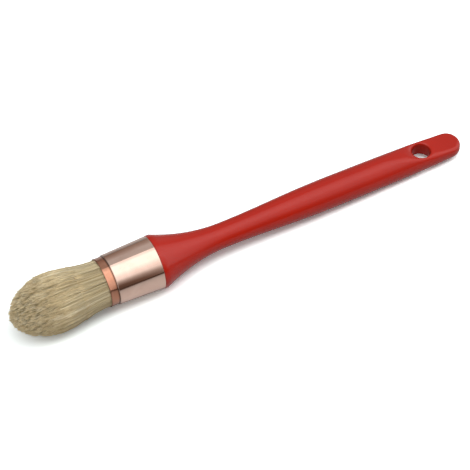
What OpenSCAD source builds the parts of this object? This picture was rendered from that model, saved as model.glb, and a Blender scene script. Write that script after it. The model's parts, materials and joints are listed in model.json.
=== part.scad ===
// Round trim paintbrush: a bristle head set in a two-piece copper ferrule on a moulded handle.
// The brush lies along X with its bristle tip towards -X. The hanging hole runs along Z.
// Distances named "from the tip" run from the bristle tip (0) back towards the handle's end.

/* [Bristle head] */
// Length of bristle that stands out of the ferrule
bristle_out = 57; // [42:1:75]
// Largest radius of the bristle head
belly_r = 17.5; // [14.5:0.1:21]
// Distance from the tip back to the widest place
belly_pos = 27; // [20:1:34]
// Fullness of the rounded tip: 2 is an ellipse and less is more pointed
tip_power = 1.7; // [1.4:0.1:2.4]
// Length of bristle held inside the ferrule
bristle_root = 13; // [10:0.5:16]
// Share of the head's radius that the core bundle fills
core_share = 0.5; // [0.42:0.01:0.6]
// Share of the head's radius at the outside of the middle bundle
middle_share = 0.77; // [0.65:0.01:0.9]

/* [Ferrule] */
// Outside radius of the front collar
collar_r = 14.5; // [12:0.1:17.5]
// Length of collar seen in front of the sleeve
collar_show = 5; // [3:0.5:7]
// How far the collar reaches past the bristle roots into the resin
collar_lap = 2; // [1:0.5:4]
// Radius of the rolled lip at the collar's mouth
lip_r = 0.35; // [0.28:0.01:0.5]
// Thickness of the copper sheet
sheet = 0.5; // [0.35:0.05:0.65]
// Length of the outer sleeve
sleeve_len = 28; // [23:0.5:34]
// How much the sleeve's radius grows from front to rear
sleeve_flare = 1; // [0.2:0.1:2]

/* [Resin and plug] */
// Thickness of the resin that holds the bristle roots
resin_t = 6; // [5:0.5:8]
// How far the plug's nose stands in front of the resin
plug_front = 7; // [4:0.5:9]
// How far the plug's stem goes into the handle
plug_stem = 10; // [6:0.5:14]
// Length of the plug's tapered nose
plug_nose = 3; // [1:0.5:3.5]

/* [Handle] */
// Length of handle behind the ferrule
handle_out = 204; // [170:1:245]
// Length of the shoulder band against the sleeve
band_len = 2.5; // [1.5:0.1:4]
// How far the shoulder band stands out of the sleeve
band_step = 0.15; // [0:0.05:0.5]
// Rounding of the shoulder band's front edge
band_round = 0.6; // [0.3:0.1:0.7]
// Distance from the sleeve to the thinnest place of the neck
neck_pos = 44; // [36:1:54]
// Radius of the neck
neck_r = 7.5; // [6:0.1:9]
// Distance from the sleeve to the fullest place of the grip
grip_pos = 112; // [92:1:135]
// Radius of the grip
grip_r = 9.4; // [8:0.1:11.3]
// Radius of the rounded end
end_r = 8.3; // [7.5:0.1:10]
// Radius of the core hole that the moulding tool leaves up the handle
core_r = 4.5; // [3.5:0.1:5.4]
// Depth of the core hole from the face of the spigot
core_depth = 110; // [60:1:132]

/* [Hanging end] */
// Thickness that the handle thins to at its end
end_t = 7.2; // [5:0.1:10]
// Length over which the handle thins, from its round grip to the end's thickness
thin_len = 50; // [40:1:60]
// Distance from the end to where the thinning is complete
thin_stop = 4; // [2:0.5:6]
// Radius of the hanging hole
hole_r = 5.5; // [4:0.1:6.6]
// Length of the hanging hole's straight wall
hole_len = 6.6; // [5:0.1:8]
// Distance from the end to the hole's centre
hole_from_end = 26.4; // [22:0.1:31]
// Rounding of the hole's rims
rim_round = 2.8; // [1.5:0.1:3.4]

/* [Fits] */
// Radial clearance where one piece slides into another
fit_gap = 0.05; // [0.02:0.01:0.1]
// Clearance where resin or bristle fills a space
cast_gap = 0.02; // [0.01:0.01:0.05]

/* [Hidden] */
$fn = 96;

// places along the brush, from the tip
sleeve_front = bristle_out + collar_show;
sleeve_rear = sleeve_front + sleeve_len;
resin_front = bristle_out + bristle_root;
spigot_face = resin_front + resin_t;
collar_rear = resin_front + collar_lap;
total_len = sleeve_rear + handle_out;
hole_pos = total_len - hole_from_end;
thin_end = total_len - thin_stop;
thin_start = thin_end - thin_len;
end_centre = total_len - end_r;

// radii that follow from the fits
collar_bore = collar_r - sheet;
mouth_r = collar_bore - fit_gap;
sleeve_r = collar_r + fit_gap + sheet;
band_r = sleeve_r + sleeve_flare + band_step;
plug_r = core_r - fit_gap;
axis_z = max(belly_r, band_r);

// colours
red = [0.72, 0.09, 0.08];
copper = [0.80, 0.50, 0.41];
pale_copper = [0.85, 0.63, 0.57];
bristle = [0.66, 0.60, 0.46];
amber = [0.55, 0.36, 0.14];
beech = [0.78, 0.62, 0.42];

// steps of a curved stretch, of a small rounding, and of the rolled lip
curve_steps = 14;
arc_steps = 6;
lip_steps = 12;

// how far a cutting shape runs past what it cuts, and how wide it is
past = 1;
cut_wide = 4 * grip_r;

// how far the hanging hole's rims round over, and the length of the cone that runs on from them
rim_turn = 60;
rim_run_on = 4 * rim_round;

// ---- curves ----

// half a cosine wave from 0 to 1
function ease(u) = (1 - cos(180 * u)) / 2;

// the sleeve's outside radius at a place along the brush
function sleeve_at(s) = sleeve_r + sleeve_flare * (s - sleeve_front) / sleeve_len;

// the sleeve's inside radius
function sleeve_bore(s) = sleeve_at(s) - sheet;

// the bristles' spread: from the mouth out to the belly, then straight on
function spread_at(s) =
    s <= belly_pos ? belly_r
    : s >= bristle_out ? mouth_r
    : mouth_r + (belly_r - mouth_r) * (1 - ease((s - belly_pos) / (bristle_out - belly_pos)));

// the rounded tip: the place where it has a share of the belly's radius
function tip_place(share) = belly_pos * (1 - pow(1 - pow(share, tip_power), 1 / tip_power));

// an arc of points, as [radius, place]
function arc(r, s, size, from, to, steps = arc_steps) =
    [for (i = [0 : steps]) let (a = from + (to - from) * i / steps) [r + size * cos(a), s + size * sin(a)]];

// ---- placing ----

// stands a profile of [radius, place from the tip] round the brush's axis
module turned(points) {
    translate([-total_len / 2, 0, axis_z]) rotate([0, 90, 0]) rotate_extrude() polygon(points);
}

// puts a shape drawn in [place from the tip, height above the axis] into the brush's frame
module side_view() {
    translate([-total_len / 2, 0, axis_z]) rotate([90, 0, 0]) children();
}

// ---- bristles ----

// the side of a bundle that lies at a share of the spread, from its root to where it meets the tip's curve
function bundle_side(share, offset, root) =
    let (front = tip_place(share), step = (bristle_out - front) / (2 * curve_steps))
    concat([[share * mouth_r + offset, root]],
           [for (s = [bristle_out : -step : front - step / 2]) [share * spread_at(s) + offset, s]]);

// the tip's curve between two shares of the belly's radius, outer share first
function tip_curve(outer, inner, offset) =
    [for (i = [1 : curve_steps - 1])
        let (share = outer + (inner - outer) * i / curve_steps) [share * belly_r + offset, tip_place(share)]];

function backwards(list) = [for (i = [len(list) - 1 : -1 : 0]) list[i]];

// a ring of bristle between two shares of the head's radius
module bristle_ring(inner, outer) {
    root = resin_front - cast_gap;
    turned(concat(bundle_side(outer, 0, root),
                  tip_curve(outer, inner, cast_gap / 2),
                  backwards(bundle_side(inner, cast_gap, root))));
}

// Long outer bristles, which end round the belly
module bristles_outer() color(bristle) bristle_ring(middle_share, 1);

// Bristles between the outer ring and the core
module bristles_middle() color(bristle * 0.95) bristle_ring(core_share, middle_share);

// The longest bristles, which reach the tip and part round the plug
module bristles_core() color(bristle * 0.9) {
    root = resin_front - cast_gap;
    nose = resin_front - plug_front;
    hollow = plug_r + fit_gap;
    turned(concat(bundle_side(core_share, 0, root),
                  tip_curve(core_share, 0, 0),
                  [[0, 0], [0, nose - fit_gap], [plug_r / 2 + fit_gap, nose - fit_gap],
                   [hollow, nose + plug_nose], [hollow, root]]));
}

// ---- ferrule ----

// Front tube that grips the bristles, with a lip rolled at its mouth
module ferrule_collar() color(copper) {
    lip_s = bristle_out + lip_r;
    lip_mid = collar_bore + lip_r;
    lip_meets = acos((collar_r - lip_mid) / lip_r);
    turned(concat([[collar_r, collar_rear], [collar_bore, collar_rear]],
                  arc(lip_mid, lip_s, lip_r, 180, 360 + lip_meets, lip_steps)));
}

// Outer tube that joins the collar to the handle, with its front edge rounded
module ferrule_sleeve() color(pale_copper) {
    edge = sheet / 2;
    turned(concat(arc(sleeve_bore(sleeve_front) + edge, sleeve_front + edge, edge, 180, 360),
                  [[sleeve_at(sleeve_rear), sleeve_rear], [sleeve_bore(sleeve_rear), sleeve_rear]]));
}

// ---- inside the ferrule ----

// Hardened resin round the bristle roots, from the collar back to the handle's spigot
module resin_setting() color(amber) {
    step = collar_rear + cast_gap;
    turned([[plug_r + cast_gap, resin_front], [collar_bore - cast_gap, resin_front],
            [collar_bore - cast_gap, step], [sleeve_bore(step) - cast_gap, step],
            [sleeve_bore(spigot_face) - cast_gap, spigot_face - cast_gap],
            [plug_r + cast_gap, spigot_face - cast_gap]]);
}

// Turned peg that spreads the bristle roots and plugs the handle's core hole
module centre_plug() color(beech) {
    nose = resin_front - plug_front;
    turned([[0, nose], [plug_r / 2, nose], [plug_r, nose + plug_nose],
            [plug_r, spigot_face + plug_stem], [0, spigot_face + plug_stem]]);
}

// ---- handle ----

// radius of the handle behind its shoulder band
function handle_at(s) =
    let (a = s - sleeve_rear)
    a < neck_pos ? neck_r + (band_r - neck_r) * pow(1 - (a - band_len) / (neck_pos - band_len), 2)
    : a < grip_pos ? neck_r + (grip_r - neck_r) * ease((a - neck_pos) / (grip_pos - neck_pos))
    : grip_r - (grip_r - end_r) * pow((a - grip_pos) / (end_centre - sleeve_rear - grip_pos), 2);

// the handle's outline behind the band, at equal steps between two places
function handle_stretch(from, to, steps) =
    [for (i = [0 : steps - 1]) let (s = from + (to - from) * i / steps) [handle_at(s), s]];

// the turned body, with its spigot inside the sleeve
module handle_body() {
    turned(concat([[0, spigot_face], [sleeve_bore(spigot_face) - fit_gap, spigot_face],
                   [sleeve_bore(sleeve_rear) - fit_gap, sleeve_rear]],
                  arc(band_r - band_round, sleeve_rear + band_round, band_round, -90, 0),
                  handle_stretch(sleeve_rear + band_len, sleeve_rear + neck_pos, curve_steps),
                  handle_stretch(sleeve_rear + neck_pos, sleeve_rear + grip_pos, curve_steps),
                  handle_stretch(sleeve_rear + grip_pos, end_centre, curve_steps),
                  arc(0, end_centre, end_r, 0, 90, curve_steps)));
}

// half the handle's thickness where it thins, from the grip's own radius to the end's
function half_t(s) =
    let (thick = handle_at(thin_start))
    thick - (thick - end_t / 2) * ease((s - thin_start) / thin_len);

// what is cut away above the thinned end, as [place, height above the axis]
module above_end() {
    top = cut_wide / 2;
    step = thin_len / curve_steps;
    polygon(concat([[total_len + past, top], [thin_start, top]],
                   [for (s = [thin_start : step : thin_end + step / 2]) [s, half_t(s)]],
                   [[total_len + past, end_t / 2]]));
}

// the hanging hole: a straight bore whose rims round outwards, then run on as a cone
module hanging_hole() {
    rim = arc(hole_r + rim_round, hole_len / 2, rim_round, 180, 180 - rim_turn);
    last = rim[len(rim) - 1];
    mouth = [last[0] + rim_run_on * sin(rim_turn), last[1] + rim_run_on * cos(rim_turn)];
    translate([hole_pos - total_len / 2, 0, axis_z]) {
        cylinder(r = hole_r, h = hole_len + rim_round / 10, center = true);
        for (side = [0, 1]) mirror([0, 0, side])
            rotate_extrude() polygon(concat([[0, hole_len / 2]], rim, [mouth, [0, mouth[1]]]));
    }
}

// Moulded handle with a hollow core, thinned at its end, where a hanging hole goes through
module handle() color(red) difference() {
    handle_body();
    turned([[0, spigot_face - past], [core_r, spigot_face - past], [core_r, spigot_face + core_depth],
            [0, spigot_face + core_depth + core_r]]);
    for (side = [0, 1]) translate([0, 0, axis_z]) mirror([0, 0, side]) translate([0, 0, -axis_z])
        side_view() linear_extrude(cut_wide, center = true) above_end();
    hanging_hole();
}

handle();
ferrule_sleeve();
ferrule_collar();
centre_plug();
resin_setting();
bristles_outer();
bristles_middle();
bristles_core();
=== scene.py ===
import json
import math

import bmesh
import bpy
import numpy as np
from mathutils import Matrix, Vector


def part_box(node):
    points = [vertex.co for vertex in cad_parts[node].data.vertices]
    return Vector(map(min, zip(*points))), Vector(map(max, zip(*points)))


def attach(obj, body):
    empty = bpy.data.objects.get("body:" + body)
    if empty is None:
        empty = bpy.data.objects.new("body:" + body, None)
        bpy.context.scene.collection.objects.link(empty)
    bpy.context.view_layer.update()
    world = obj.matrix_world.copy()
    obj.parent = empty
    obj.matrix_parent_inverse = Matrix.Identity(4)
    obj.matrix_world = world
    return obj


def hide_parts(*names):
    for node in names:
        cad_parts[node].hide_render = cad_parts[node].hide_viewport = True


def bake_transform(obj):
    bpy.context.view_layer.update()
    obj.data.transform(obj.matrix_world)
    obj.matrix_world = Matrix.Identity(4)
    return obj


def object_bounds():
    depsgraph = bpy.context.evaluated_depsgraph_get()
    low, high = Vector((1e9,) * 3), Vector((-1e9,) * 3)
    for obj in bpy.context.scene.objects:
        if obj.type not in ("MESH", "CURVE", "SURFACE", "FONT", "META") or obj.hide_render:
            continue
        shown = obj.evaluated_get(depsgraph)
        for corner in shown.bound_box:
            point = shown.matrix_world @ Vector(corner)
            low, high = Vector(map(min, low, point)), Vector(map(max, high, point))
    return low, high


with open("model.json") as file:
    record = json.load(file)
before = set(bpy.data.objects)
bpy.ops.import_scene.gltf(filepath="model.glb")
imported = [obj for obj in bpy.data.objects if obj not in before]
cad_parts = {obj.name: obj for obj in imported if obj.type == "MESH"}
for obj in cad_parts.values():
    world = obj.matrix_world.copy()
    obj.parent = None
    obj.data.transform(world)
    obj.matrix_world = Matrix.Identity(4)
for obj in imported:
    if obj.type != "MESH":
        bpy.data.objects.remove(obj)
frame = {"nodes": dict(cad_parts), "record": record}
cad_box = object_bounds()

# ---- Camera ----
# A long lens that looks down on the brush from its near side and from in front of its tip.
# The brush's axis runs along X, at half the height of its bristle head.
tip_x = cad_box[0].x
axis_z = (cad_box[0].z + cad_box[1].z) / 2
camera_azimuth = math.radians(-27.13)
camera_height = math.radians(51.39)
camera_distance = 1.0
aim_from_tip = 0.1404
aim_aside = -0.0033
sensor_width = 36
lens_length = 132.05
camera_aim = Vector((tip_x + aim_from_tip, aim_aside, axis_z))

camera_way = Vector((math.sin(camera_azimuth) * math.cos(camera_height),
                     -math.cos(camera_azimuth) * math.cos(camera_height),
                     math.sin(camera_height)))
lens = bpy.data.cameras.new("camera")
lens.sensor_width = sensor_width
lens.lens = lens_length
camera = bpy.data.objects.new("camera", lens)
camera.location = camera_aim + camera_distance * camera_way
camera.rotation_euler = camera_way.to_track_quat("Z", "Y").to_euler()
bpy.context.collection.objects.link(camera)
bpy.context.scene.camera = camera
bpy.context.scene.view_settings.view_transform = "Standard"

# ---- Floor ----
# A table top, which slopes a little in the frame so that the shoulder band and the underside of the
# grip both rest on it. The camera sees it white. Everything else sees it in plain greys, which
# darken towards the front.
floor_size = 8
floor_white = (1.42, 1.5, 1.5, 1)
floor_glow = 0.02
floor_front_to_back = [(-0.5, (0.06, 0.04, 0.03, 1)), (-0.24, (0.1, 0.07, 0.055, 1)), (-0.17, 0.3),
                       (-0.1, 0.42), (-0.03, 0.5), (0.06, 0.5), (0.2, 0.3)]
under_band = 0.0163
under_grip = 0.0094
band_rest = 0.001
grip_rest = 0.243
floor_front = Vector((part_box("ferrule_sleeve")[1].x + band_rest, 0, axis_z - under_band))
floor_back = Vector((tip_x + grip_rest, 0, axis_z - under_grip))
white = (1, 1, 1, 1)


def new_material(name, **sockets):
    """a material of one Principled shader, with its plain sockets set"""
    material = bpy.data.materials.new(name)
    material.use_nodes = True
    shader = material.node_tree.nodes["Principled BSDF"]
    for socket, value in sockets.items():
        shader.inputs[socket.replace("_", " ")].default_value = value
    return material, material.node_tree, shader


def add_node(tree, kind, **settings):
    """a node; each setting goes to the node's own property or else to the input of that name"""
    made = tree.nodes.new(kind)
    for name, value in settings.items():
        if hasattr(made, name):
            setattr(made, name, value)
        else:
            made.inputs[name.replace("_", " ")].default_value = value
    return made


def add_mix(tree, a=None, b=None, factor=None, blend="MIX"):
    """a mix of two colours; what isn't given here is linked to it later"""
    made = add_node(tree, "ShaderNodeMix", data_type="RGBA", blend_type=blend)
    for socket, value in [("A", a), ("B", b), ("Factor", factor)]:
        if value is not None:
            made.inputs[socket].default_value = value
    return made


def join(tree, *links):
    """links, each given as (output, input)"""
    for source, target in links:
        tree.links.new(source, target)


def add_ramp(tree, stops):
    """a colour ramp through stops given as (place, colour or grey), with the range that they span"""
    low, high = stops[0][0], stops[-1][0]
    reach = add_node(tree, "ShaderNodeMapRange", From_Min=low, From_Max=high)
    ramp = add_node(tree, "ShaderNodeValToRGB")
    points = ramp.color_ramp.elements
    while len(points) < len(stops):
        points.new(1.0)
    for point, (place, colour) in zip(points, stops):
        point.position = (place - low) / (high - low)
        point.color = colour if isinstance(colour, tuple) else (colour,) * 3 + (1,)
    tree.links.new(reach.outputs[0], ramp.inputs[0])
    return reach.inputs["Value"], ramp.outputs["Color"]


def add_piece(name, bm, sharp=math.radians(40)):
    """an object with a finished mesh, smooth but for edges sharper than an angle"""
    mesh = bpy.data.meshes.new(name)
    bm.to_mesh(mesh)
    bm.free()
    mesh.shade_smooth()
    mesh.set_sharp_from_angle(angle=sharp)
    piece = bpy.data.objects.new(name, mesh)
    bpy.context.collection.objects.link(piece)
    return piece


bm = bmesh.new()
bmesh.ops.create_grid(bm, x_segments=1, y_segments=1, size=floor_size / 2)
tilt = (floor_back - floor_front).to_track_quat("X", "Z").to_matrix()
bmesh.ops.rotate(bm, cent=(0, 0, 0), matrix=tilt, verts=bm.verts)
bmesh.ops.translate(bm, vec=floor_front, verts=bm.verts)
floor = add_piece("floor", bm)
paint, tree, shader = new_material("table_paint", Roughness=0.9, Specular_IOR_Level=0.0,
                                   Emission_Color=white)
rays = add_node(tree, "ShaderNodeLightPath")
where = add_node(tree, "ShaderNodeTexCoord")
parts = add_node(tree, "ShaderNodeSeparateXYZ")
seen = add_mix(tree, b=floor_white)
glow = add_node(tree, "ShaderNodeMath", operation="MULTIPLY")
glow.inputs[1].default_value = floor_glow
fade_in, fade_out = add_ramp(tree, floor_front_to_back)
join(tree,
     (where.outputs["Object"], parts.inputs[0]),
     (parts.outputs["Y"], fade_in),
     (fade_out, seen.inputs["A"]),
     (rays.outputs["Is Camera Ray"], seen.inputs["Factor"]),
     (seen.outputs["Result"], shader.inputs["Base Color"]),
     (rays.outputs["Is Camera Ray"], glow.inputs[0]),
     (glow.outputs[0], shader.inputs["Emission Strength"]))
floor.data.materials.append(paint)

# ---- Light ----
# A soft lamp over the brush casts its shadow. Copper and plastic mirror a drawn room instead: a long
# canopy with a brighter middle and a crisp far edge, dim behind it and dark towards the camera. The
# room lights the brush too, at about half strength, and the camera sees it white.
softbox_size = (2.6, 0.5)
softbox_distance = 1.1
softbox_lean = math.radians(12)
softbox_along = 0.2
softbox_power = 12.5
room_light = 0.47
canopy = 1.2
bright = 1.6
room_front_to_back = [(-1.0, (0.09, 0.06, 0.045, 1)), (-0.96, (0.14, 0.09, 0.07, 1)),
                      (-0.87, (0.42, 0.38, 0.36, 1)), (-0.75, 1.0), (-0.6, canopy), (-0.35, bright),
                      (0.15, bright), (0.3, canopy), (0.385, canopy), (0.41, 0.5), (0.57, 0.49),
                      (0.73, 0.5), (0.86, (0.39, 0.35, 0.33, 1)), (0.95, (0.3, 0.25, 0.22, 1)),
                      (1.0, (0.23, 0.17, 0.145, 1))]
room_left_to_right = [(-1.0, 0.9), (-0.75, 0.9), (-0.4, 1.0), (1.0, 1.0)]

box_light = bpy.data.lights.new("softbox", "AREA")
box_light.shape = "RECTANGLE"
box_light.size, box_light.size_y = softbox_size
box_light.energy = softbox_power
softbox = bpy.data.objects.new("softbox", box_light)
softbox_way = Vector((0, -math.sin(softbox_lean), math.cos(softbox_lean)))
softbox.location = softbox_way * softbox_distance + Vector((softbox_along, 0, 0))
softbox.rotation_euler = softbox_way.to_track_quat("Z", "Y").to_euler()
softbox.visible_glossy = False
bpy.context.collection.objects.link(softbox)

world = bpy.data.worlds.new("room")
bpy.context.scene.world = world
world.use_nodes = True
tree = world.node_tree
way = add_node(tree, "ShaderNodeTexCoord")
parts = add_node(tree, "ShaderNodeSeparateXYZ")
rays = add_node(tree, "ShaderNodeLightPath")
shown = add_mix(tree, b=white)
room_in, room_out = add_ramp(tree, room_front_to_back)
side_in, side_out = add_ramp(tree, room_left_to_right)
room = add_mix(tree, factor=1.0, blend="MULTIPLY")
mirrored = add_node(tree, "ShaderNodeMath", operation="MAXIMUM")
level = add_node(tree, "ShaderNodeMapRange", To_Min=room_light)
join(tree,
     (way.outputs["Generated"], parts.inputs[0]),
     (parts.outputs["Y"], room_in),
     (parts.outputs["X"], side_in),
     (room_out, room.inputs["A"]),
     (side_out, room.inputs["B"]),
     (rays.outputs["Is Camera Ray"], shown.inputs["Factor"]),
     (room.outputs["Result"], shown.inputs["A"]),
     (rays.outputs["Is Camera Ray"], mirrored.inputs[0]),
     (rays.outputs["Is Glossy Ray"], mirrored.inputs[1]),
     (mirrored.outputs[0], level.inputs["Value"]),
     (shown.outputs["Result"], tree.nodes["Background"].inputs["Color"]),
     (level.outputs[0], tree.nodes["Background"].inputs["Strength"]))

# ---- Handle ----
# One injection moulding in satin red plastic: a shoulder band against the ferrule, a slim neck, a
# fuller grip and an end that thins from above and below, with a hanging hole whose rims round over.
# Its spigot sits inside the ferrule, and the tool's core leaves a hole up it from the spigot.
MM = 0.001
sleeve_rear = (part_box("ferrule_sleeve")[1].x - tip_x) / MM
handle_end = (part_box("handle")[1].x - tip_x) / MM
spigot_face = (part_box("handle")[0].x - tip_x) / MM
hang_hole = frame["record"]["mounts"][0]
hole_place = (hang_hole["pos_m"][0] - tip_x) / MM
hole_r = hang_hole["dims"]["r_mm"]
hole_len = hang_hole["dims"]["length_mm"]
rim_round = 2.8
rim_turn = math.radians(60)
rim_blend = 1.3
band_r = 16.2
band_len = 2.5
band_round = 0.6
neck_from_sleeve = 44
neck_place = sleeve_rear + neck_from_sleeve
neck_r = 7.5
grip_from_sleeve = 112
grip_place = sleeve_rear + grip_from_sleeve
grip_r = 9.4
end_r = 8.3
end_centre = handle_end - end_r
thin_stop = 4
thin_len = 50
thin_end = handle_end - thin_stop
thin_start = thin_end - thin_len
end_half = 3.6
ridge_blend = 2.6
ridge_grow = 25
spigot_r = (15.5, 15.0)
core_r = 4.5
core_depth = 110
seam_height = 0.05
seam_weld = 1e-4
across = 48
along = 26
round_end = 36
rows = 44
forward = 96
corner = 8
red = (0.45, 0.014, 0.004, 1)
dull_red = (0.41, 0.013, 0.005, 1)


def ease(u):
    """half a cosine wave from 0 to 1"""
    return (1 - math.cos(math.pi * min(max(u, 0), 1))) / 2


def blend_min(a, b, width):
    """the smaller of two heights, rounded over where they cross"""
    near = max(1 - abs(a - b) / width, 0) if width > 0 else 0
    return min(a, b) - near * near * width / 4


def handle_radius(s):
    """the turned shape's radius at a distance from the bristle tip"""
    if s < neck_place:
        return neck_r + (band_r - neck_r) * ((neck_place - s) / (neck_place - sleeve_rear - band_len)) ** 2
    if s < grip_place:
        return neck_r + (grip_r - neck_r) * ease((s - neck_place) / (grip_place - neck_place))
    if s < end_centre:
        return grip_r - (grip_r - end_r) * ((s - grip_place) / (end_centre - grip_place)) ** 2
    return math.sqrt(max(end_r ** 2 - (s - end_centre) ** 2, 0))


def end_height(s, y):
    """the height of the thinned end's upper side above the axis"""
    uncut = math.sqrt(max(handle_radius(s) ** 2 - y ** 2, 0))
    full = handle_radius(thin_start)
    thinned = full - (full - end_half) * ease((s - thin_start) / (thin_end - thin_start))
    body = blend_min(uncut, thinned, ridge_blend * ease((s - thin_start) / ridge_grow))
    out = math.hypot(s - hole_place, y) - hole_r
    turn_over = rim_round * (1 - math.cos(rim_turn))
    if out < turn_over:
        rim = math.sqrt(max(rim_round ** 2 - (rim_round - out) ** 2, 0))
    else:
        rim = rim_round * math.sin(rim_turn) + (out - turn_over) / math.tan(rim_turn)
    return blend_min(body, hole_len / 2 + rim, rim_blend)


def grow(bm, edges, place):
    """extrudes a loop of edges, puts each new vertex in its place and returns the new loop"""
    made = bmesh.ops.extrude_edge_only(bm, edges=edges)["geom"]
    verts = {vert for vert in made if isinstance(vert, bmesh.types.BMVert)}
    for vert in verts:
        vert.co = place(vert)
    return [edge for edge in made if isinstance(edge, bmesh.types.BMEdge) and verts.issuperset(edge.verts)]


def ring_place(s, r):
    """where a vertex goes on a ring round the axis, at its own angle"""
    def place(vert):
        away = Vector((0, vert.co.y, vert.co.z)).normalized() * r
        return Vector((s, away.y, away.z))
    return place


def spoke_place(row):
    """where a vertex goes in one row of the end's upper side, on its own spoke from the bore"""
    def place(vert):
        spoke = Vector((vert.co.x - hole_place, vert.co.y)).normalized()
        out = hole_r + (vert[reach] - hole_r) * ease(row / rows)
        s, y = hole_place + spoke.x * out, spoke.y * out
        height = end_height(s, y)
        return Vector((s, y, height if height > seam_height else 0))
    return place


def into_frame(bm):
    """takes a shape drawn in millimetres along the axis from the bristle tip into the frame"""
    bmesh.ops.recalc_face_normals(bm, faces=bm.faces)
    bmesh.ops.scale(bm, vec=(MM, MM, MM), verts=bm.verts)
    bmesh.ops.translate(bm, vec=(tip_x, 0, axis_z), verts=bm.verts)


# the thinned end's outline from above: across the grip, along one side, round and back
sides = [thin_start + (end_centre - thin_start) * i / along for i in range(along)]
outline = [(thin_start, handle_radius(thin_start) * math.sin(math.pi * (i / across - 0.5)))
           for i in range(across)]
outline += [(s, handle_radius(s)) for s in sides]
outline += [(end_centre + end_r * math.sin(math.pi * i / round_end),
             end_r * math.cos(math.pi * i / round_end)) for i in range(round_end)]
outline += [(s, -handle_radius(s)) for s in [end_centre] + sides[:0:-1]]

# its upper half grows row by row from the middle of the bore out to that outline
bm = bmesh.new()
reach = bm.verts.layers.float.new("reach")
bmesh.ops.create_circle(bm, segments=len(outline), radius=hole_r)
for vert, (s, y) in zip(bm.verts, outline):
    vert[reach] = math.hypot(s - hole_place, y)
    vert.co = Vector((hole_place + (s - hole_place) / vert[reach] * hole_r, y / vert[reach] * hole_r, 0))
loop = grow(bm, bm.edges[:], lambda vert: vert.co + Vector((0, 0, hole_len / 2)))
for row in range(1, rows + 1):
    loop = grow(bm, loop, spoke_place(row))

# the lower half mirrors it, and the open ring then grows forward to the spigot and up the core
bmesh.ops.mirror(bm, geom=bm.verts[:] + bm.edges[:] + bm.faces[:], axis="Z", merge_dist=seam_weld)
loop = [edge for edge in bm.edges if edge.is_boundary]
stations = [thin_start + (sleeve_rear + band_len - thin_start) * i / forward for i in range(1, forward + 1)]
profile = [(s, handle_radius(s)) for s in stations]
profile += [(sleeve_rear + band_round * (1 - math.sin(math.pi / 2 * i / corner)),
             band_r - band_round * (1 - math.cos(math.pi / 2 * i / corner))) for i in range(corner + 1)]
profile += [(sleeve_rear, spigot_r[0]), (spigot_face, spigot_r[1]), (spigot_face, core_r),
            (spigot_face + core_depth, core_r)]
for s, r in profile:
    loop = grow(bm, loop, ring_place(s, r))
core_ring = {vert for edge in loop for vert in edge.verts}
bmesh.ops.pointmerge(bm, verts=list(core_ring), merge_co=(spigot_face + core_depth + core_r, 0, 0))
into_frame(bm)
handle = add_piece("handle_moulding", bm)
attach(handle, "brush")
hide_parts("handle")


def new_group(name, inputs, outputs):
    """a shader node group with named inputs (a name and a value) and named outputs"""
    group = bpy.data.node_groups.new(name, "ShaderNodeTree")
    for socket, value in inputs.items():
        made = group.interface.new_socket(socket, in_out="INPUT", socket_type="NodeSocketFloat")
        made.default_value = value
    for socket in outputs:
        group.interface.new_socket(socket, in_out="OUTPUT", socket_type="NodeSocketFloat")
    return group, group.nodes.new("NodeGroupInput"), group.nodes.new("NodeGroupOutput")


def add_group(tree, group, **inputs):
    """a node group placed in a material with its own values"""
    made = tree.nodes.new("ShaderNodeGroup")
    made.node_tree = group
    for socket, value in inputs.items():
        made.inputs[socket.replace("_", " ")].default_value = value
    return made


# handling marks: soft cloudy patches between two values
marks_inputs = {"Size": 40.0, "Least": 0.0, "Most": 1.0}
handling_marks, given, result = new_group("handling_marks", marks_inputs, ["Marks"])
where = add_node(handling_marks, "ShaderNodeTexCoord")
clouds = add_node(handling_marks, "ShaderNodeTexNoise", Detail=5.0, Roughness=0.62, Distortion=0.4)
spread = add_node(handling_marks, "ShaderNodeMapRange", From_Min=0.34, From_Max=0.68)
join(handling_marks,
     (where.outputs["Object"], clouds.inputs["Vector"]),
     (given.outputs["Size"], clouds.inputs["Scale"]),
     (clouds.outputs[0], spread.inputs["Value"]),
     (given.outputs["Least"], spread.inputs["To Min"]),
     (given.outputs["Most"], spread.inputs["To Max"]),
     (spread.outputs[0], result.inputs["Marks"]))

plastic, tree, shader = new_material("red_plastic", IOR=1.5, Specular_IOR_Level=0.4)
marks = add_group(tree, handling_marks, Size=55.0, Least=0.16, Most=0.23)
flow = add_group(tree, handling_marks, Size=22.0)
reds = add_mix(tree, red, dull_red)
where = add_node(tree, "ShaderNodeTexCoord")
skin = add_node(tree, "ShaderNodeTexNoise", Scale=900.0, Detail=3.0)
bump = add_node(tree, "ShaderNodeBump", Strength=0.12, Distance=0.00006)
join(tree,
     (marks.outputs[0], shader.inputs["Roughness"]),
     (flow.outputs[0], reds.inputs["Factor"]),
     (reds.outputs["Result"], shader.inputs["Base Color"]),
     (where.outputs["Object"], skin.inputs["Vector"]),
     (skin.outputs[0], bump.inputs["Height"]),
     (bump.outputs[0], shader.inputs["Normal"]))
handle.data.materials.append(plastic)

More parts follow.
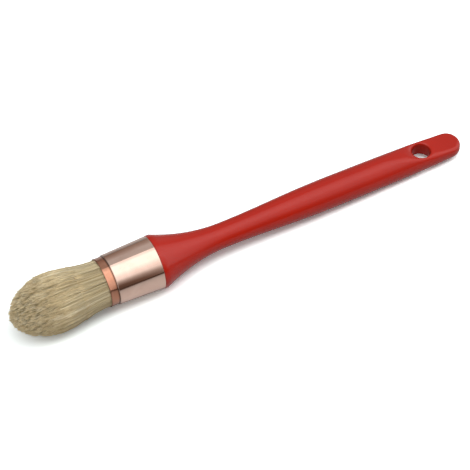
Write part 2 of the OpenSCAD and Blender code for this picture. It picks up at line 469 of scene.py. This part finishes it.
# ---- Ferrule ----
# Two drawn copper tubes, polished. The narrow collar in front grips the bristles with a rolled lip,
# and the wider sleeve runs back from it over the handle's spigot and widens a little.
sheet = 0.5
sleeve_front = (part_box("ferrule_sleeve")[0].x - tip_x) / MM
collar_front = (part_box("ferrule_collar")[0].x - tip_x) / MM
collar_rear = (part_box("ferrule_collar")[1].x - tip_x) / MM
collar_r = 14.5
collar_lip = 0.35
sleeve_r = (15.05, 16.05)
turned_steps = 256
turned_weld = 1e-5
sleeve_finish = (0.035, 0.09)
collar_finish = (0.07, 0.16)
pink_copper = (0.94, 0.68, 0.565, 1)
pink_tarnish = (0.84, 0.58, 0.47, 1)
deep_copper = (0.66, 0.335, 0.225, 1)
deep_tarnish = (0.53, 0.23, 0.14, 1)


def rounding(s, r, size, start, end, steps=10):
    """points on an arc about a centre, as (distance from the tip, radius)"""
    turns = [math.radians(start + (end - start) * i / steps) for i in range(steps + 1)]
    return [(s + size * math.sin(turn), r + size * math.cos(turn)) for turn in turns]


def turned(name, points, steps=turned_steps):
    """a piece spun round the axis from a closed profile of (distance from the tip, radius)"""
    bm = bmesh.new()
    verts = [bm.verts.new((s, 0, r)) for s, r in points]
    edges = [bm.edges.new((verts[i - 1], verts[i])) for i in range(len(verts))]
    bmesh.ops.spin(bm, geom=verts + edges, axis=(1, 0, 0), cent=(0, 0, 0), angle=2 * math.pi,
                   steps=steps, use_merge=True)
    bmesh.ops.remove_doubles(bm, verts=bm.verts, dist=turned_weld)
    bmesh.ops.delete(bm, geom=[edge for edge in bm.edges if edge.is_wire], context="EDGES")
    into_frame(bm)
    return add_piece(name, bm)


half = sheet / 2
rolled = sleeve_r[0] - collar_r
sleeve = turned("ferrule_sleeve_tube",
                [(sleeve_front + rolled, sleeve_r[0] - rolled)]
                + rounding(sleeve_front + rolled, sleeve_r[0] - rolled, rolled, -90, 0)
                + rounding(sleeve_rear - half, sleeve_r[1] - half, half, 0, 180))
collar = turned("ferrule_collar_tube",
                rounding(collar_front + collar_lip, collar_r - sheet + collar_lip, collar_lip, -180, 0)
                + [(collar_front + 2 * collar_lip, collar_r), (collar_rear, collar_r),
                   (collar_rear, collar_r - sheet)])

# drawing lines: fine marks that run along the tube, at a number to the turn
drawing_lines, given, result = new_group("drawing_lines", {"Lines": 400.0, "Length": 30.0}, ["Height"])
where = add_node(drawing_lines, "ShaderNodeTexCoord")
centred = add_node(drawing_lines, "ShaderNodeMapping", Location=(0, 0, -axis_z))
parts = add_node(drawing_lines, "ShaderNodeSeparateXYZ")
angle = add_node(drawing_lines, "ShaderNodeMath", operation="ARCTAN2")
round_tube = add_node(drawing_lines, "ShaderNodeMath", operation="MULTIPLY")
down_tube = add_node(drawing_lines, "ShaderNodeMath", operation="MULTIPLY")
laid = add_node(drawing_lines, "ShaderNodeCombineXYZ")
lines = add_node(drawing_lines, "ShaderNodeTexNoise", Scale=1.0, Detail=3.0, Roughness=0.6)
join(drawing_lines,
     (where.outputs["Object"], centred.inputs[0]),
     (centred.outputs[0], parts.inputs[0]),
     (parts.outputs["Y"], angle.inputs[0]),
     (parts.outputs["Z"], angle.inputs[1]),
     (angle.outputs[0], round_tube.inputs[0]),
     (given.outputs["Lines"], round_tube.inputs[1]),
     (parts.outputs["X"], down_tube.inputs[0]),
     (given.outputs["Length"], down_tube.inputs[1]),
     (round_tube.outputs[0], laid.inputs["X"]),
     (down_tube.outputs[0], laid.inputs["Y"]),
     (laid.outputs[0], lines.inputs["Vector"]),
     (lines.outputs[0], result.inputs["Height"]))


def copper(name, clean, tarnish, finish, edge_shade):
    """polished copper: patches of tarnish, handling marks, drawing lines and painted shade at its edges"""
    material, tree, shader = new_material(name, Metallic=1.0)
    patches = add_group(tree, handling_marks, Size=70.0)
    tint = add_mix(tree, clean, tarnish)
    marks = add_group(tree, handling_marks, Size=160.0, Least=finish[0], Most=finish[1])
    lines = add_group(tree, drawing_lines)
    bump = add_node(tree, "ShaderNodeBump", Strength=0.10, Distance=0.00003)
    where = add_node(tree, "ShaderNodeTexCoord")
    parts = add_node(tree, "ShaderNodeSeparateXYZ")
    # painted shade along the tube, darkest at its edges
    edge_shade_in, edge_shade_out = add_ramp(tree, [(tip_x + s * MM, share) for s, share in edge_shade])
    edge_shaded = add_mix(tree, factor=1.0, blend="MULTIPLY")
    join(tree,
         (patches.outputs[0], tint.inputs["Factor"]),
         (where.outputs["Object"], parts.inputs[0]),
         (parts.outputs["X"], edge_shade_in),
         (edge_shade_out, edge_shaded.inputs["B"]),
         (tint.outputs["Result"], edge_shaded.inputs["A"]),
         (edge_shaded.outputs["Result"], shader.inputs["Base Color"]),
         (marks.outputs[0], shader.inputs["Roughness"]),
         (lines.outputs[0], bump.inputs["Height"]),
         (bump.outputs[0], shader.inputs["Normal"]))
    return material


# painted shade: the copper is darkened at the collar's lip, in the step in front of the sleeve and at the
# sleeve's rear edge, where shade falls between the parts
sleeve_edge_shade = [(sleeve_front, 0.35), (sleeve_front + 0.3, 0.6), (sleeve_front + 0.55, 1.0),
                (sleeve_rear - 0.4, 1.0), (sleeve_rear, 0.7)]
collar_edge_shade = [(collar_front, 0.45), (collar_front + 0.4, 1.0), (sleeve_front - 1.0, 1.0),
                (sleeve_front - 0.3, 0.5), (sleeve_front, 0.3)]
sleeve_look = copper("pink_copper", pink_copper, pink_tarnish, sleeve_finish, sleeve_edge_shade)
collar_look = copper("deep_copper", deep_copper, deep_tarnish, collar_finish, collar_edge_shade)
sleeve.data.materials.append(sleeve_look)
collar.data.materials.append(collar_look)
for tube, node, slot in [(sleeve, "ferrule_sleeve", "sleeve_copper"),
                         (collar, "ferrule_collar", "collar_copper")]:
    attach(tube, "brush")
    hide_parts(node)

# ---- Bristles ----
# Natural hog bristles, set in resin inside the collar and dressed to a dome. They taper, bend a
# little and gather in locks towards their ends. Dark ones lie among pale ones. Painted shade darkens
# a bristle the deeper it lies in the head, and painted light brightens it near its end at the surface.
mouth = collar_front
mouth_r = 13.95
belly_r = 17.5
belly_place = 27
dome_power = 1.88
dome_top = 0.5
sag = 0.55
sag_power = 1.2

# one bristle: its root, radius, spread of radius and taper, and how far it leans of itself
bristle_root = mouth + 3.5
bristle_r = 0.135
bristle_spread = (0.8, 1.25)
bristle_taper = 0.45
bristle_lean = 0.014
end_lean = 0.012
end_scatter = 0.25
end_short = 0.8
foremost_end = 0.1
dome_len = 14
rearmost_end = mouth - dome_len - 2

# locks and tufts: width, scatter, pull on a bristle at its root and end, and their own differences
lock_width = 0.9
lock_pull = (0.14, 0.3)
pull_reach = 30
end_reach = 6
tuft_width = 2.4
tuft_gap = 0.2
tuft_hold = 0.3
middle_scatter = 0.42
lock_tone_spread = 0.2
lock_sway_spread = 0.01
lock_lift_spread = 0.005
lock_short = 1.3
proud = 1.02

# how many bristles there are, and the share of the head's radius that each kind reaches in to
core_share = 0.5
side_share = 0.86
belly_share = 0.97
side_count = 2900
dome_count = 6930
tip_count = 3570
shoulder_count = 5200
belly_count = 3400
belly_clumps = 380
clump_short = 9.0
clump_width = 0.02
shoulder_dive = 0.002
belly_dive = 0.006

# colour: a tone of its own, times painted shade and light from how deep it lies and how near its end
tone_spread = 0.22
tone_limits = (0.02, 0.97)
shade_depth = 2.8
shade_share = 0.6
pale_end = 3
slope_step = 0.01
map_margin = 0.02
map_width = 0.004
painted_shade_and_light = [(0.0, (0.40, 0.30, 0.17, 1)), (0.22, (0.55, 0.46, 0.34, 1)), (0.38, 0.70),
                (0.5, 0.84), (0.59, 0.85), (0.66, 1.08), (0.8, 1.14), (1.0, 1.18)]
dark_bristle = (0.53, 0.40, 0.21, 1)
mid_bristle = (0.76, 0.63, 0.38, 1)
pale_bristle = (0.88, 0.78, 0.56, 1)
chance = np.random.default_rng(11)


def spread_at(s):
    """the radius of the bristle head's side at a distance from the tip"""
    u = np.clip((s - belly_place) / (mouth - belly_place), 0, 1)
    return belly_r + (mouth_r - belly_r) * (1 - np.cos(np.pi * u)) / 2


def dome_place(share):
    """where a bristle ends that lies at a share of the head's radius"""
    drop = 1 - (1 - np.clip(share, 0, 1) ** dome_power) ** (1 / dome_power)
    return dome_top + (belly_place - dome_top) * drop


def one_bristle(rings):
    """a three-sided strand of unit length and unit radius, closed at both ends"""
    bm = bmesh.new()
    bmesh.ops.create_cone(bm, cap_ends=True, segments=3, radius1=1, radius2=1, depth=1)
    bmesh.ops.translate(bm, vec=(0, 0, 0.5), verts=bm.verts)
    long_edges = [edge for edge in bm.edges if abs(edge.verts[0].co.z - edge.verts[1].co.z) > 0.5]
    bmesh.ops.subdivide_edges(bm, edges=long_edges, cuts=rings - 1)
    bmesh.ops.recalc_face_normals(bm, faces=bm.faces)
    mesh = bpy.data.meshes.new("one_bristle")
    bm.to_mesh(mesh)
    bm.free()
    return mesh


def nearest(flat, middles):
    """which middle lies nearest to each place across the head"""
    return np.argmin(((flat[:, None, :] - middles[None, :, :]) ** 2).sum(2), 1)


def many_bristles(name, strand, share, angle, root, tip, dive):
    """copies of one strand, each bent to its own line; the arrays hold one value for each copy"""
    count = len(share)
    corner = np.array([vert.co for vert in strand.vertices])
    t = corner[None, :, 2]
    s = root[:, None] + (tip - root)[:, None] * t
    to_tip = s - tip[:, None]

    # its place across the head, pulled towards the middle of its lock and bent a little of itself
    flat = np.stack([share * np.cos(angle), share * np.sin(angle)], 1)
    lock = nearest(flat, lock_middle)
    near_tip = np.clip(1 - to_tip / pull_reach, 0, 1)[..., None]
    at_tip = np.clip(1 - to_tip / end_reach, 0, 1)[..., None]
    pull = lock_pull[0] + (lock_pull[1] - lock_pull[0]) * near_tip ** 2
    across = flat[:, None, :] + (lock_middle[lock] - flat)[:, None, :] * pull
    tuft = nearest(flat, tuft_middle)
    gather = ((tuft_middle[tuft] - flat) * tuft_pull[tuft, None])[:, None, :]
    across += gather * (tuft_hold + (1 - tuft_hold) * near_tip)
    lean = chance.normal(0, bristle_lean, (count, 1, 2)) + lock_sway[lock][:, None, :]
    across += lean * near_tip ** 2
    across += chance.normal(0, end_lean, (count, 1, 2)) * at_tip ** 2
    across *= 1 + lock_lift[lock][:, None, None] * near_tip - dive * to_tip[..., None]
    across *= np.minimum(1, proud / np.linalg.norm(across, axis=2, keepdims=True))
    centre = across * spread_at(s)[..., None]

    roll = chance.uniform(0, 2 * np.pi, (count, 1))
    thick = bristle_r * chance.uniform(*bristle_spread, (count, 1)) * (1 - bristle_taper * t ** 4)
    y = centre[..., 0] + thick * (corner[None, :, 0] * np.cos(roll) - corner[None, :, 1] * np.sin(roll))
    z = centre[..., 1] + thick * (corner[None, :, 0] * np.sin(roll) + corner[None, :, 1] * np.cos(roll))
    z -= sag * np.clip(1 - s / mouth, 0, 1) ** sag_power
    places = np.stack([tip_x + s * MM, y * MM, axis_z + z * MM], 2).reshape(-1, 3)

    loops = np.array([loop.vertex_index for loop in strand.loops])
    starts = np.array([face.loop_start for face in strand.polygons])
    first = np.arange(count)[:, None]
    mesh = bpy.data.meshes.new(name)
    mesh.vertices.add(len(places))
    mesh.loops.add(count * len(loops))
    mesh.polygons.add(count * len(starts))
    mesh.vertices.foreach_set("co", places.ravel())
    mesh.loops.foreach_set("vertex_index", (first * len(corner) + loops).ravel())
    mesh.polygons.foreach_set("loop_start", (first * len(loops) + starts).ravel())

    # across the map runs the strand's own tone, and up it a level of painted shade and light from how near
    # it lies to the head's surface and to its end
    tone = np.clip(0.5 + lock_tone[lock] + chance.normal(0, tone_spread, count), *tone_limits)
    side = np.arctan2(corner[:, 1], corner[:, 0]) / np.pi
    u = tone[:, None] + map_width * side[None, :]
    out = np.linalg.norm(across, axis=2)
    slope = (dome_place(out + slope_step) - dome_place(out - slope_step)) / (2 * slope_step * belly_r)
    depth = np.minimum((1 - out) * spread_at(s), (s - dome_place(out)) / np.hypot(1, slope))
    # painted shade and light: deeper in the head is darker, nearer the surface and the bristle's end is
    # paler
    painted_light_level = shade_share * (1 - depth / shade_depth) + (1 - shade_share) * np.exp(-to_tip / pale_end)
    v = map_margin + (1 - 2 * map_margin) * np.clip(painted_light_level, 0, 1)
    layer = mesh.uv_layers.new(name="OFBake")
    layer.uv.foreach_set("vector", np.stack([u[:, loops], v[:, loops]], 2).ravel())
    mesh.update(calc_edges=True)
    mesh.shade_smooth()
    piece = bpy.data.objects.new(name, mesh)
    bpy.context.collection.objects.link(piece)
    return piece


def lock_middles(width):
    """middles spread over the head's round section, about one width apart"""
    across_head = int(2 * belly_r / width)
    steps = np.arange(across_head + 2)
    grid = np.stack(np.meshgrid(steps, steps), -1).reshape(-1, 2)
    scatter = chance.uniform(-middle_scatter, middle_scatter, grid.shape)
    middles = grid + scatter + (grid[:, 1:] % 2) * (0.5, 0)
    middles = (middles - (across_head + 1) / 2) * width / belly_r
    return middles[np.hypot(*middles.T) < proud]


# small locks inside larger tufts; each lock has its own tone and lean
lock_middle = lock_middles(lock_width)
tuft_middle = lock_middles(tuft_width)
lock_tone = chance.normal(0, lock_tone_spread, len(lock_middle))
lock_sway = chance.normal(0, lock_sway_spread, (len(lock_middle), 2))
lock_lift = chance.normal(0, lock_lift_spread, len(lock_middle))
lock_end = chance.exponential(lock_short, len(lock_middle))
tuft_pull = chance.uniform(0, tuft_gap, len(tuft_middle))

bristle, tree, shader = new_material("hog_bristle", Roughness=0.5, Specular_IOR_Level=0.35)
layout = add_node(tree, "ShaderNodeUVMap", uv_map="OFBake")
parts = add_node(tree, "ShaderNodeSeparateXYZ")
tone_in, tone_out = add_ramp(tree, [(0.0, dark_bristle), (0.5, mid_bristle), (1.0, pale_bristle)])
# painted shade and light from the map's height, the palest of it brighter than the bristle's own colour
shade_in, shade_out = add_ramp(tree, painted_shade_and_light)
shaded = add_mix(tree, factor=1.0, blend="MULTIPLY")
join(tree,
     (layout.outputs[0], parts.inputs[0]),
     (parts.outputs["X"], tone_in),
     (parts.outputs["Y"], shade_in),
     (tone_out, shaded.inputs["A"]),
     (shade_out, shaded.inputs["B"]),
     (shaded.outputs["Result"], shader.inputs["Base Color"]))

long_strand = one_bristle(11)
short_strand = one_bristle(4)

# name, strand, inner and outer share, how many, root, dive towards the axis, and the node it replaces
bundles = [
    ("side_bristles", long_strand, side_share, 1.0, side_count, bristle_root, 0, "bristles_outer"),
    ("dome_bristles", short_strand, core_share, side_share, dome_count, None, 0, "bristles_middle"),
    ("tip_bristles", short_strand, 0.0, core_share, tip_count, None, 0, "bristles_core"),
    ("shoulder_bristles", short_strand, side_share, 1.0, shoulder_count, None, shoulder_dive, None),
    ("belly_bristles", short_strand, belly_share, 1.0, belly_count, None, belly_dive, None)]
clump_angle = chance.uniform(0, 2 * np.pi, belly_clumps)
clump_end = chance.exponential(clump_short, belly_clumps)
for name, strand, inner, outer, count, root, dive, node in bundles:
    share = np.sqrt(chance.uniform(inner ** 2, outer ** 2, count))
    angle = chance.uniform(0, 2 * np.pi, count)
    clump = chance.integers(0, belly_clumps, count)
    if name == "belly_bristles":
        angle = clump_angle[clump] + chance.normal(0, clump_width, count)
    flat = np.stack([share * np.cos(angle), share * np.sin(angle)], 1)
    tip = dome_place(share) + chance.normal(0, end_scatter, count) + chance.exponential(end_short, count)
    tip += clump_end[clump] if name == "belly_bristles" else lock_end[nearest(flat, lock_middle)]
    tip = np.clip(tip, foremost_end, rearmost_end)
    root = np.full(count, float(root)) if root else tip + dome_len
    piece = many_bristles(name, strand, share, angle, root, tip, dive)
    piece.data.materials.append(bristle)
    if node:
        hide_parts(node)
    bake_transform(piece)
bpy.data.meshes.remove(long_strand)
bpy.data.meshes.remove(short_strand)

# the packed bristles under the loose ones, as one body darkened with painted shade for the depth of the
# head
packing_share = 0.84
packing_steps = 24
packing_depth = 6.5
packing_turned_steps = 96
packing_rear = mouth + 3
# painted shade: darker than the bristles' own colour, as they look deep inside the head
packing_painted_shades = [(0.3, (0.36, 0.27, 0.13, 1)), (0.7, (0.55, 0.44, 0.25, 1))]
side_line = [packing_rear - (packing_rear - belly_place) * i / packing_steps for i in range(packing_steps)]
points = [(s, packing_share * float(spread_at(s))) for s in side_line]
dome_line = [packing_share * math.cos(math.pi / 2 * i / packing_steps) for i in range(packing_steps)]
points += [(float(dome_place(share)) + packing_depth, share * belly_r) for share in dome_line]
points += [(dome_top + packing_depth, 0.0), (packing_rear, 0.0)]
packing = turned("bristle_packing", points, packing_turned_steps)
dark, tree, shader = new_material("packed_bristle", Roughness=0.7)
lines = add_group(tree, drawing_lines, Lines=60.0, Length=15.0)
packed_in, packed_out = add_ramp(tree, packing_painted_shades)
join(tree, (lines.outputs[0], packed_in), (packed_out, shader.inputs["Base Color"]))
packing.data.materials.append(dark)
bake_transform(packing)

# ---- Resin and plug ----
# Amber adhesive poured round the bristle roots, and the turned beech peg that spreads them. Both
# are closed in by the ferrule.
amber = (0.42, 0.22, 0.05, 1)
dark_amber = (0.25, 0.12, 0.03, 1)
beech = (0.62, 0.43, 0.24, 1)
beech_line = (0.45, 0.28, 0.14, 1)

# the node, its material's name, two colours, roughness and the number of patches to the metre
inner_looks = [("resin_setting", "amber_resin", amber, dark_amber, 0.2, 180.0),
               ("centre_plug", "beech_peg", beech, beech_line, 0.6, 300.0)]
for node, name, pale, deep, rough, size in inner_looks:
    material, tree, shader = new_material(name, Roughness=rough)
    clouds = add_group(tree, handling_marks, Size=size)
    tint = add_mix(tree, pale, deep)
    join(tree,
         (clouds.outputs[0], tint.inputs["Factor"]),
         (tint.outputs["Result"], shader.inputs["Base Color"]))
    frame["nodes"][node].data.materials.clear()
    frame["nodes"][node].data.materials.append(material)
